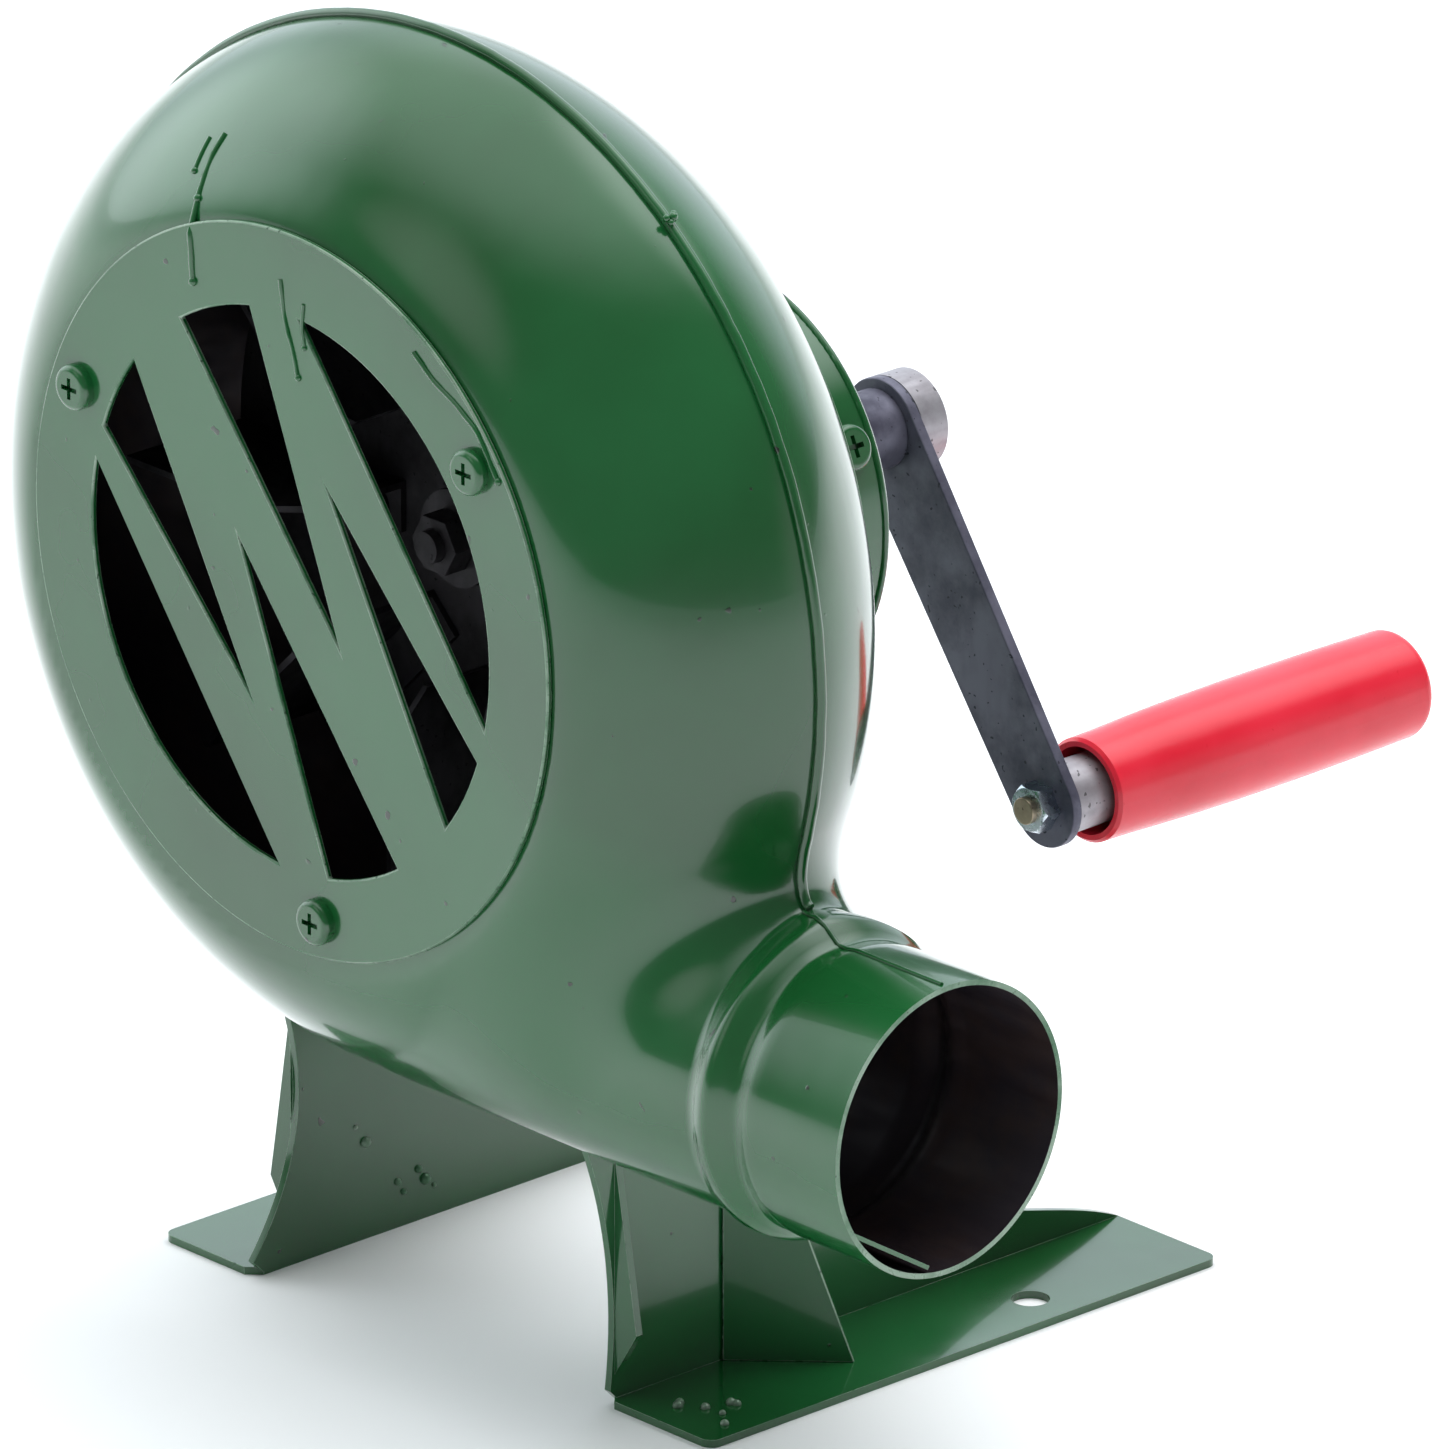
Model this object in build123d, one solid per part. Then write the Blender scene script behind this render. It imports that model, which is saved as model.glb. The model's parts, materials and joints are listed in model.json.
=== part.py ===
from build123d import *
import math
import os

os.makedirs("parts", exist_ok=True)

# Hand-crank forge blower. Sizes in mm, Z up. The origin is on the bench, midway between
# the two foot bolt holes. Pieces are drawn about the fan axis and moved by place().

# where the fan axis crosses the seam plane
fan_x = -9.0
seam_y = -77.0
fan_z = 146.5

# casing
wall = 1.0
casing_r = 97.5
casing_dx = -1.5
casing_dz = -3.0
front_depth = 36.0
back_depth = 38.0
front_round = 29.4
back_round = 35.0
roundness = 1.25
shell_hole_r = 54.5
back_hole_r = 46.0

# seam
flange_t = 0.6
flange_h = 1.0
strip_t = 0.5

# outlet
nozzle_r = 27.0
nozzle_dz = -72.7
nozzle_end = 129.0
collar_len = 25.0
shoulder_len = 12.0
shoulder_r = 29.3
ring_step = 0.6
groove_r = 26.4
duct_start = 8.0
duct_drop = 0.8
duct_half_w = 32.0
duct_half_h = 31.0
lap_w = 22.0
lap_len = 34.0
lap_t = 0.8
lap_tilt = -32.0
lap_aside = -2.0
lap_rise = 3.6

# inlet grille
grille_r = 67.0
grille_t = 1.2
slot_r = 51.8
grille_screw_r = 60.0
grille_screw_angles = (37.0, 157.0, 277.0)

# common screws
screw_r = 2.0
screw_head_r = 4.2
screw_head_h = 2.2
screw_fit = 0.2

# back plate and gearbox
plate_r = 68.0
plate_t = 2.0
plate_screw_r = 60.4
crank_dx = 15.5
crank_dz = 2.5
cover_r = 39.5
cover_depth = 16.0
cover_t = 1.2
cover_screw_angles = (25.0, 100.0, 250.0)
cover_screw_y = 8.5
tab_t = 2.6

# gears
pressure_angle = 25.0
drive_teeth = 52
pinion_teeth = 12
idler_teeth = 36
drive_module = 0.8
fan_module = 0.6
backlash = 0.10
tooth_root = 1.05
tooth_tip = 0.8
gear_gap = 1.5
fan_gear_w = 4.5
drive_gear_w = 5.5

# shafts, with the gap left round each turning one
run_gap = 0.04
fan_shaft_r = 3.0
fan_stub_r = 1.9
bush_r = 7.0
bush_len = 14.0
idler_pin_r = 2.0
crank_shaft_r = 5.0
crank_bush_r = 8.0
crank_bush_len = 22.0

# impeller
impeller_r = 70.0
impeller_back = 14.0
impeller_t = 1.2
blade_count = 8
blade_in = 26.0
blade_depth = 28.0
blade_t = 1.2
blade_foot = 9.0
rivet_r = 1.6
rivet_in = blade_in + 6.0
rivet_out = impeller_r - 8.0
hub_r = 9.0
hub_front = 12.0
hub_rear = 4.0
fan_nut_h = 5.0
shaft_over = 2.0

# crank and grip
arm_len = 73.2
arm_angle = -54.7
arm_y = 90.0
arm_t = 2.2
arm_wide = 9.2
arm_narrow = 8.0
crank_hub_h = 6.3
bolt_r = 2.5
nut_af = 8.0
nut_h = 3.6
sleeve_r = 6.6
sleeve_len = 79.8
grip_gap = 7.8
grip_len = 78.0
grip_r = 10.6

# feet
foot_t = 1.5
hole_pitch = 120.0
hole_r = 3.5
foot_far = 115.0
front_web_x = 52.0
front_flange_w = 26.0
rear_web_x = -36.0
rear_flange_w = 23.0
wing_start = 18.0
wing_run = 23.4
wing_h = 62.0
lip_w = 5.6


def place(shape):
    return Pos(fan_x, seam_y, fan_z) * shape


def along_y(radius, y0, y1, x=0.0, z=0.0):
    """A round bar parallel to Y."""
    bar = Rot(-90, 0, 0) * Cylinder(radius, y1 - y0, align=(Align.CENTER, Align.CENTER, Align.MIN))
    return Pos(x, y0, z) * bar


def tube_y(r_out, r_in, y0, y1, x=0.0, z=0.0):
    return along_y(r_out, y0, y1, x, z) - along_y(r_in, y0 - 1, y1 + 1, x, z)


def sheet_y(face, y0, y1):
    """A face drawn as (x, z) made into a plate from y0 to y1."""
    plate = extrude(face, y1 - y0)
    return Pos(0, y1, 0) * (Rot(90, 0, 0) * plate)


def hex_y(across, y0, y1, x=0.0, z=0.0):
    face = RegularPolygon(across / 2, 6, major_radius=False)
    return Pos(x, 0, z) * sheet_y(face, y0, y1)


def on_circle(radius, degrees):
    return radius * math.cos(math.radians(degrees)), radius * math.sin(math.radians(degrees))


# ---- casing ----
def rounding(side, inset):
    depth = (front_depth if side < 0 else back_depth) - inset
    reach = (front_round if side < 0 else back_round) - inset
    flat = casing_r - inset - reach
    steps = 9
    pts = []
    for i in range(steps + 1):
        a = math.pi / 2 * i / steps
        pts.append((flat + reach * math.cos(a) ** roundness, side * depth * math.sin(a) ** roundness))
    return pts


def drum(inset):
    """The round part of the casing as a solid."""
    front = rounding(-1, inset)
    back = rounding(1, inset)
    outline = [
        Spline(*front, tangents=[(0, -1), (-1, 0)]),
        Spline(*back, tangents=[(0, 1), (-1, 0)]),
        Polyline(front[-1], (0, front[-1][1]), (0, back[-1][1]), back[-1]),
    ]
    return Pos(casing_dx, 0, casing_dz) * revolve(make_face(outline), Axis.Y)


def yz_face(face, x, z):
    return Pos(x, 0, z) * (Rot(0, 90, 0) * face)


neck_x = nozzle_end - collar_len - shoulder_len


def duct(inset, extra=0.0):
    """Outlet: a taper from the drum, a rounded shoulder, a groove and a straight collar."""
    start_z = casing_dz - casing_r + duct_half_h + duct_drop
    a = yz_face(Ellipse(duct_half_h - inset, duct_half_w - inset), duct_start, start_z)
    b = yz_face(Circle(nozzle_r + ring_step - inset), neck_x, nozzle_dz)
    taper = loft([a, b])
    end = nozzle_end + extra
    ridge = Spline(
        (neck_x, nozzle_r + ring_step - inset),
        (neck_x + 5.5, shoulder_r - inset),
        (neck_x + 11, groove_r - inset),
        (neck_x + 15, nozzle_r - inset),
        tangents=[(1, 0), (1, 0)],
    )
    rest = Polyline(
        (neck_x + 15, nozzle_r - inset),
        (end, nozzle_r - inset),
        (end, 0),
        (neck_x, 0),
        (neck_x, nozzle_r + ring_step - inset),
    )
    nose = revolve(make_face([ridge, rest]), Axis.X)
    return taper + Pos(0, 0, nozzle_dz) * nose


def casing_block(inset, extra=0.0):
    return drum(inset) + duct(inset, extra)


def outline_plate(grow, y0, y1):
    """The casing outline in the seam plane, grown outward, as a plate."""
    top = nozzle_dz + nozzle_r + ring_step + grow
    low = nozzle_dz - nozzle_r - ring_step - grow
    disc = Pos(casing_dx, casing_dz) * Circle(casing_r + grow)
    start_low = casing_dz - casing_r + duct_drop - grow
    channel = make_face(Polyline((duct_start, start_low), (neck_x, low), (neck_x, top), (duct_start, top),
                                 (duct_start, start_low)))
    return sheet_y(disc + channel, y0, y1)


outer = casing_block(0.0)
inner = casing_block(wall, 5.0)


def half_space(side):
    return Pos(0, side * 150, 0) * Box(600, 300, 600)


def half_shell(side):
    skin = (outer - inner) & half_space(side)
    y0, y1 = (-flange_t, 0) if side < 0 else (0, flange_t)
    rim = outline_plate(flange_h, y0, y1) - outer
    return skin + rim


def front_shell():
    shell = half_shell(-1) - along_y(shell_hole_r, -60, -5)
    for a in grille_screw_angles:
        x, z = on_circle(grille_screw_r, a)
        shell -= along_y(screw_r, -60, -5, x, z)
    return shell


def lap_strip():
    """Flat strip of the rear half that laps inside the front half at the nozzle mouth."""
    strip = Pos(nozzle_end - lap_len / 2, 0, 0) * Box(lap_len, lap_w, lap_t)
    tilt = Pos(0, 0, nozzle_dz) * (Rot(lap_tilt, 0, 0) * (Pos(0, lap_aside, -nozzle_r + lap_rise) * strip))
    return tilt & inner


def rear_shell():
    shell = half_shell(1) - along_y(back_hole_r, 5, 60, casing_dx, casing_dz)
    for x, z in plate_screw_points():
        shell -= along_y(screw_r, 5, 60, x, z)
    return shell


def seam_strip():
    grow = flange_h + strip_t
    half = flange_t + strip_t
    strip = outline_plate(grow, -half, half) - outer
    strip -= outline_plate(flange_h, -flange_t, flange_t)
    return strip


# ---- inlet grille ----
def wedge(tip, a0, a1):
    p0 = on_circle(slot_r * 1.3, a0)
    p1 = on_circle(slot_r * 1.3, a1)
    return make_face(Polyline(tip, p0, p1, tip))


def grille_slots():
    """Three slots, then the same three turned half a turn."""
    p0 = on_circle(slot_r, 167.5)
    p1 = on_circle(slot_r, 266.5)
    side = make_face(Polyline(p0, p1, (p1[0], -slot_r * 1.4), (-slot_r * 1.4, -slot_r * 1.4),
                              (-slot_r * 1.4, p0[1]), p0))
    slim = wedge((-10.5, -21.8), 136.0, 153.5)
    wide = wedge((12.9, -6.5), 103.5, 124.0)
    half = (side + slim + wide) & Circle(slot_r)
    return half + Rot(0, 0, 180) * half


def inlet_grille():
    face = Circle(grille_r) - grille_slots()
    plate = sheet_y(face, -front_depth - grille_t, -front_depth)
    for a in grille_screw_angles:
        x, z = on_circle(grille_screw_r, a)
        plate -= along_y(screw_r + screw_fit, -60, -20, x, z)
    return plate


def pan_screw(length):
    """Pan head screw with a cross recess. Head underside at z = 0, head on +Z."""
    head = Cylinder(screw_head_r, screw_head_h, align=(Align.CENTER, Align.CENTER, Align.MIN))
    head = fillet(head.faces().sort_by(Axis.Z)[-1].edges(), screw_head_h * 0.55)
    bar = Box(4.0, 0.9, 1.2, align=(Align.CENTER, Align.CENTER, Align.MAX))
    cross = Pos(0, 0, screw_head_h + 0.01) * (bar + Rot(0, 0, 90) * bar)
    shank = Cylinder(screw_r, length, align=(Align.CENTER, Align.CENTER, Align.MAX))
    return head - cross + shank


def screws_facing(points, y, front, length):
    turn = Rot(90, 0, 0) if front else Rot(-90, 0, 0)
    return Compound(children=[Pos(x, y, z) * (turn * pan_screw(length)) for x, z in points])


def grille_screws():
    points = [on_circle(grille_screw_r, a) for a in grille_screw_angles]
    return screws_facing(points, -front_depth - grille_t, True, 7.0)


# ---- back plate and gearbox ----
plate_y = back_depth + plate_t
idler_y0 = plate_y + gear_gap
idler_y1 = idler_y0 + fan_gear_w
drive_y0 = idler_y1 + gear_gap
drive_y1 = drive_y0 + drive_gear_w
cover_y = back_depth + plate_t + cover_depth
cover_in = cover_y - cover_t

drive_pitch = drive_teeth * drive_module / 2
first_pinion = pinion_teeth * drive_module / 2
idler_pitch = idler_teeth * fan_module / 2
fan_pinion_pitch = pinion_teeth * fan_module / 2


def idler_centre():
    """Where the idler sits so that both gear pairs mesh."""
    d = math.hypot(crank_dx, crank_dz)
    r1 = drive_pitch + first_pinion
    r2 = idler_pitch + fan_pinion_pitch
    a = (r1 * r1 + d * d - r2 * r2) / (2 * d)
    h = math.sqrt(r1 * r1 - a * a)
    ux, uz = -crank_dx / d, -crank_dz / d
    return crank_dx + a * ux + h * uz, crank_dz + a * uz - h * ux


idler_x, idler_z = idler_centre()
mesh_1 = math.atan2(idler_z - crank_dz, idler_x - crank_dx)
mesh_2 = math.atan2(-idler_z, -idler_x)


def plate_screw_points():
    pts = []
    for a in (45, 135, 225, 315):
        x, z = on_circle(plate_screw_r, a)
        pts.append((x + casing_dx, z + casing_dz))
    return pts


def back_plate():
    plate = along_y(plate_r, back_depth, plate_y, casing_dx, casing_dz)
    plate -= along_y(bush_r, 0, 80)
    plate -= along_y(idler_pin_r, 0, 80, idler_x, idler_z)
    for x, z in plate_screw_points():
        plate -= along_y(screw_r + screw_fit, 0, 80, x, z)
    return plate


def plate_screws():
    return screws_facing(plate_screw_points(), plate_y, False, 6.0)


def fan_bush():
    flange = tube_y(bush_r + 3, fan_shaft_r + run_gap, back_depth - 2, back_depth)
    return tube_y(bush_r, fan_shaft_r + run_gap, plate_y - bush_len, plate_y) + flange


def radial_at(angle, y, shape):
    """Put a shape drawn along +Z onto the gear cover wall, pointing outward."""
    turned = Rot(0, 90 - angle, 0) * shape
    return Pos(crank_dx, y, crank_dz) * turned


def cover_tabs():
    """Blocks on the back plate that the gear cover screws bite into."""
    tabs = []
    y = plate_y + cover_screw_y
    for a in cover_screw_angles:
        r0 = cover_r - cover_t - tab_t
        depth = cover_screw_y + 4
        block = Pos(0, 4 - depth / 2, r0 + tab_t / 2) * Box(8, depth, tab_t)
        block = radial_at(a, y, block) & along_y(cover_r - cover_t, plate_y, cover_in, crank_dx, crank_dz)
        hole = Cylinder(screw_r, 3 * cover_r, align=(Align.CENTER, Align.CENTER, Align.MIN))
        tabs.append(block - radial_at(a, y, hole))
    return Compound(children=tabs)


def gear_cover():
    cup = along_y(cover_r, plate_y, cover_y, crank_dx, crank_dz)
    cup = fillet(cup.faces().sort_by(Axis.Y)[-1].edges(), 1.6)
    cup -= along_y(cover_r - cover_t, plate_y - 1, cover_in, crank_dx, crank_dz)
    bead = Pos(crank_dx, cover_y - 1.8, crank_dz) * (Rot(90, 0, 0) * Torus(cover_r - 0.1, 0.7))
    cup = cup + (bead - along_y(cover_r - cover_t, plate_y - 1, cover_in, crank_dx, crank_dz))
    cup -= along_y(crank_bush_r, 0, 90, crank_dx, crank_dz)
    hole = Cylinder(screw_r + screw_fit, 3 * cover_r, align=(Align.CENTER, Align.CENTER, Align.MIN))
    for a in cover_screw_angles:
        cup -= radial_at(a, plate_y + cover_screw_y, hole)
    return cup


def cover_screws():
    made = []
    for a in cover_screw_angles:
        screw = Pos(0, 0, cover_r) * pan_screw(cover_t + tab_t - 0.4)
        made.append(radial_at(a, plate_y + cover_screw_y, screw))
    return Compound(children=made)


def crank_bush():
    y0 = drive_y1 + 1.0
    tube = tube_y(crank_bush_r, crank_shaft_r + run_gap, y0, cover_y + crank_bush_len, crank_dx, crank_dz)
    flange = tube_y(crank_bush_r + 5, crank_bush_r - 1, cover_y, cover_y + 2.5, crank_dx, crank_dz)
    return tube + flange


# ---- gears ----
def involute(angle):
    return math.tan(angle) - angle


def gear(teeth, module, y0, y1, bore, phase, x, z):
    """Spur gear with a tooth centred on the angle 'phase' seen in the (x, z) plane."""
    alpha = math.radians(pressure_angle)
    pitch = teeth * module / 2
    base = pitch * math.cos(alpha)
    root = pitch - tooth_root * module
    tip = pitch + tooth_tip * module
    flank_pts = []
    half = math.pi / (2 * teeth) - backlash / (2 * pitch)
    for i in range(5):
        rho = max(base, root) + (tip - max(base, root)) * i / 4
        flank_pts.append((rho, half + involute(alpha) - involute(math.acos(base / rho))))
    pts = []
    for k in range(teeth):
        c = phase + 2 * math.pi * k / teeth
        pts.append((root, c - flank_pts[0][1]))
        pts += [(rho, c - w) for rho, w in flank_pts]
        pts += [(rho, c + w) for rho, w in reversed(flank_pts)]
        pts.append((root, c + flank_pts[0][1]))
    xy = [(r * math.cos(a), r * math.sin(a)) for r, a in pts]
    if base <= root:
        xy = [p for i, p in enumerate(xy) if i % 12 not in (0, 11)]
    face = make_face(Polyline(*xy, close=True)) - Circle(bore)
    return Pos(x, 0, z) * sheet_y(face, y0, y1)


def drive_gear():
    blank = gear(drive_teeth, drive_module, drive_y0, drive_y1, crank_shaft_r, mesh_1, crank_dx, crank_dz)
    boss = tube_y(8.5, crank_shaft_r, drive_y1, drive_y1 + 1 - run_gap, crank_dx, crank_dz)
    for a in range(0, 360, 60):
        x, z = on_circle(14.0, a + 30)
        blank -= along_y(3.2, drive_y0 - 1, drive_y1 + 1, crank_dx + x, crank_dz + z)
    return blank + boss


def idler_gear():
    bore = idler_pin_r + run_gap
    return gear(idler_teeth, fan_module, idler_y0, idler_y1, bore, mesh_2, idler_x, idler_z)


def idler_pinion():
    phase = mesh_1 + math.pi + math.pi / pinion_teeth
    bore = idler_pin_r + run_gap
    return gear(pinion_teeth, drive_module, idler_y1, drive_y1, bore, phase, idler_x, idler_z)


def fan_pinion():
    phase = mesh_2 + math.pi + math.pi / pinion_teeth
    return gear(pinion_teeth, fan_module, idler_y0, idler_y1, fan_stub_r, phase, 0.0, 0.0)


def idler_pin():
    top = drive_y1 + 1.2
    return along_y(idler_pin_r, back_depth, top, idler_x, idler_z)


def idler_spacer():
    return tube_y(3.4, idler_pin_r, plate_y, idler_y0 - run_gap, idler_x, idler_z)


def idler_clip():
    return tube_y(3.6, idler_pin_r, drive_y1 + run_gap, drive_y1 + 0.8, idler_x, idler_z)


# ---- fan ----
def fan_shaft():
    front = impeller_back - hub_front - fan_nut_h - shaft_over
    long = along_y(fan_shaft_r, front, plate_y + run_gap)
    return long + along_y(fan_stub_r, plate_y, idler_y1 + 0.6)


def blade_slots():
    return [360.0 * k / blade_count for k in range(blade_count)]


def impeller_disc():
    back = impeller_back + impeller_t
    disc = tube_y(impeller_r, fan_shaft_r, impeller_back, back)
    for a in blade_slots():
        for r in (rivet_in, rivet_out):
            x, z = rivet_point(r, a)
            disc -= along_y(rivet_r, 0, 40, x, z)
    return disc


def rivet_point(radius, angle):
    x, z = radius, blade_t / 2 + blade_foot / 2
    c, s = math.cos(math.radians(angle)), math.sin(math.radians(angle))
    return x * c - z * s, x * s + z * c


def one_blade(angle):
    length = impeller_r - 1 - blade_in
    mid = blade_in + length / 2
    upright = Pos(mid, impeller_back - blade_depth / 2, 0) * Box(length, blade_depth, blade_t)
    corner = blade_depth * 0.45
    nip = Pos(blade_in, impeller_back - blade_depth, 0) * (Rot(0, 0, 45) * Box(corner, corner, 10))
    upright = upright - nip
    foot = Pos(mid, impeller_back - blade_t / 2, blade_foot / 2) * Box(length, blade_t, blade_foot)
    blade = upright + foot
    for r in (rivet_in, rivet_out):
        blade -= along_y(rivet_r, 0, 40, r, blade_t / 2 + blade_foot / 2)
    return Rot(0, -angle, 0) * blade


def impeller_blades():
    return Compound(children=[one_blade(a) for a in blade_slots()])


def impeller_rivets():
    made = []
    back = impeller_back + impeller_t
    front = impeller_back - blade_t
    for a in blade_slots():
        for r in (rivet_in, rivet_out):
            x, z = rivet_point(r, a)
            made.append(
                along_y(rivet_r, front, back, x, z)
                + along_y(rivet_r * 1.8, front - 0.9, front, x, z)
                + along_y(rivet_r * 1.8, back, back + 0.9, x, z)
            )
    return Compound(children=made)


def impeller_hub():
    back = impeller_back + impeller_t
    front = tube_y(hub_r, fan_shaft_r, impeller_back - hub_front, impeller_back)
    rear = tube_y(hub_r, fan_shaft_r, back, back + hub_rear)
    return Compound(children=[front, rear])


def fan_nut():
    y1 = impeller_back - hub_front
    return hex_y(10, y1 - fan_nut_h, y1) - along_y(fan_shaft_r, -60, 60)


# ---- crank ----
def crank_shaft():
    shaft = along_y(crank_shaft_r, drive_y0, arm_y + arm_t + crank_hub_h, crank_dx, crank_dz)
    return shaft - hub_pin_bar()


def hub_pin_bar():
    bar = Cylinder(1.5, 2 * arm_wide)
    y = arm_y + arm_t + crank_hub_h / 2
    return Pos(crank_dx, y, crank_dz) * (Rot(0, 90 - arm_angle, 0) * bar)


def crank_spacer():
    y0 = cover_y + crank_bush_len + run_gap
    return tube_y(crank_bush_r - 0.6, crank_shaft_r, y0, arm_y, crank_dx, crank_dz)


handle_dx = crank_dx + arm_len * math.cos(math.radians(arm_angle))
handle_dz = crank_dz + arm_len * math.sin(math.radians(arm_angle))


def crank_arm():
    big = along_y(arm_wide, arm_y, arm_y + arm_t, crank_dx, crank_dz)
    small = along_y(arm_narrow, arm_y, arm_y + arm_t, handle_dx, handle_dz)
    ux, uz = on_circle(1.0, arm_angle)
    corners = []
    for (x, z, r, s) in ((crank_dx, crank_dz, arm_wide, 1), (handle_dx, handle_dz, arm_narrow, 1),
                         (handle_dx, handle_dz, arm_narrow, -1), (crank_dx, crank_dz, arm_wide, -1)):
        corners.append((x - s * r * uz, z + s * r * ux))
    bar = sheet_y(make_face(Polyline(*corners, close=True)), arm_y, arm_y + arm_t)
    arm = big + small + bar
    arm -= along_y(crank_shaft_r, 0, 200, crank_dx, crank_dz)
    return arm - along_y(bolt_r, 0, 200, handle_dx, handle_dz)


def crank_hub():
    y0 = arm_y + arm_t
    hub = along_y(arm_wide, y0, y0 + crank_hub_h, crank_dx, crank_dz)
    hub = chamfer(hub.faces().sort_by(Axis.Y)[-1].edges(), 0.5)
    return hub - along_y(crank_shaft_r, 0, 200, crank_dx, crank_dz) - hub_pin_bar()


def hub_pin():
    ring = along_y(arm_wide - 0.2, arm_y, arm_y + 40, crank_dx, crank_dz)
    return hub_pin_bar() & ring


sleeve_y1 = arm_y + arm_t + sleeve_len
grip_y0 = arm_y + arm_t + grip_gap
grip_y1 = grip_y0 + grip_len


def handle_bolt():
    shank = along_y(bolt_r, arm_y - nut_h - 1.2, sleeve_y1 + 1, handle_dx, handle_dz)
    return shank + hex_y(nut_af, sleeve_y1 + 1, sleeve_y1 + 4.5, handle_dx, handle_dz)


def handle_nut():
    nut = hex_y(nut_af, arm_y - nut_h, arm_y, handle_dx, handle_dz)
    cone = Pos(handle_dx, arm_y - nut_h, handle_dz) * (
        Rot(-90, 0, 0) * Cone(nut_af * 0.5, nut_af * 0.5 + 2 * nut_h, 2 * nut_h,
                              align=(Align.CENTER, Align.CENTER, Align.MIN)))
    return (nut & cone) - along_y(bolt_r, 0, 200, handle_dx, handle_dz)


def handle_sleeve():
    return tube_y(sleeve_r, bolt_r, arm_y + arm_t, sleeve_y1, handle_dx, handle_dz)


def handle_washer():
    return tube_y(sleeve_r + 0.6, bolt_r, sleeve_y1, sleeve_y1 + 1, handle_dx, handle_dz)


def handle_grip():
    """Moulded grip, slightly fuller towards its outer end, turning on the sleeve."""
    y0, y1 = grip_y0, grip_y1
    shoulder = sleeve_y1 - run_gap
    bore = sleeve_r + run_gap
    swell = Spline(
        (grip_r - 0.9, y0 + 0.6),
        (grip_r - 0.35, y0 + grip_len * 0.22),
        (grip_r, y0 + grip_len * 0.5),
        (grip_r - 0.15, y0 + grip_len * 0.8),
        (grip_r - 0.4, y1 - 2.2),
        tangents=[(0.02, 1), (-0.02, 1)],
    )
    cap = Spline((grip_r - 0.4, y1 - 2.2), (grip_r - 1.0, y1 - 0.6), (grip_r - 2.4, y1),
                 tangents=[(-0.02, 1), (-1, 0)])
    rest = Polyline(
        (grip_r - 2.4, y1), (sleeve_r + 0.9, y1), (sleeve_r + 0.9, shoulder), (bore, shoulder),
        (bore, y0 + 12), (bore + 1.5, y0 + 9), (bore + 1.5, y0), (grip_r - 1.5, y0),
        (grip_r - 0.9, y0 + 0.6),
    )
    return Pos(handle_dx, 0, handle_dz) * revolve(make_face([swell, cap, rest]), Axis.Y)


# ---- feet ----
def foot_web(x, side, top_y, waist_y, low_y):
    """Upright sheet. Its near edge is hollow, its far edge sweeps down to the bench."""
    high = -90.0
    ground = -fan_z
    near = Spline((top_y, high), (waist_y, (high + ground) * 0.52), (low_y, ground + 3))
    far = Spline((46.0, high), (62.0, ground + 22), (92.0, ground + 9), (foot_far - 6, ground + 4),
                 (foot_far, ground + foot_t))
    rest = Polyline((foot_far, ground + foot_t), (foot_far, ground), (low_y + 3, ground), (low_y, ground + 3))
    cap = Line((top_y, high), (46.0, high))
    face = make_face([near, far, rest, cap])
    sheet = extrude(face, foot_t)
    upright = Rot(0, 0, 90) * (Rot(90, 0, 0) * sheet)
    shift = x - foot_t if side > 0 else x
    return Pos(shift, 0, 0) * upright


def foot_flange(x, side, width, near_y):
    length = foot_far - near_y
    x0 = x - side * foot_t
    span = width + foot_t
    flat = Pos(x0 + side * span / 2, near_y + length / 2, -fan_z + foot_t / 2) * Box(span, length, foot_t)
    tips = [e for e in flat.edges().filter_by(Axis.Z) if (e.center().X - x) * side > 1]
    flat = fillet(tips, 2.5)
    heel = [e for e in flat.edges().filter_by(Axis.Z) if e.center().Y < near_y + 1
            and (e.center().X - x) * side < 1]
    return chamfer(heel, 2.5)


def foot_lip(x, side, y):
    """Strip turned out at the near edge of the web."""
    ground = -fan_z
    w = side * lip_w
    face = make_face(Polyline((x, ground + 6), (x + w, ground + 15), (x, ground + 48), (x, ground + 6)))
    return sheet_y(face, y, y + foot_t)


def foot(x, side, width, near):
    top_y, waist_y, low_y = near
    sheet = foot_web(x, side, top_y, waist_y, low_y) + foot_flange(x, side, width, low_y)
    sheet = sheet + foot_lip(x, side, waist_y + 0.5)
    sheet -= outer
    sheet -= outline_plate(flange_h + strip_t, -flange_t - strip_t, flange_t + strip_t)
    hole_x = -fan_x + side * hole_pitch / 2
    hole = Pos(hole_x, -seam_y, -fan_z) * Cylinder(hole_r, 20)
    return sheet - hole


def front_foot():
    return foot(front_web_x, 1, front_flange_w, (-17.0, -8.4, -9.0))


def rear_foot():
    return foot(rear_web_x, -1, rear_flange_w, (-10.0, -6.0, -16.0))


def wing(x, side):
    """Slanted plate from the web out over the flange."""
    base = -fan_z + foot_t
    face = make_face(Polyline((0, base), (wing_run, base), (2.0, base + wing_h), (0, base + wing_h), (0, base)))
    plate = sheet_y(face, -foot_t / 2, foot_t / 2)
    turned = Pos(x, wing_start, 0) * (Rot(0, 0, 45 if side > 0 else 135) * plate)
    room = Pos(x + side * 50, 50, -100) * Box(100, 200, 200)
    turned = turned & room
    return turned - outer - outline_plate(flange_h + strip_t, -flange_t - strip_t, flange_t + strip_t)


def front_wing():
    return wing(front_web_x, 1)


def rear_wing():
    return wing(rear_web_x, -1)


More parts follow.
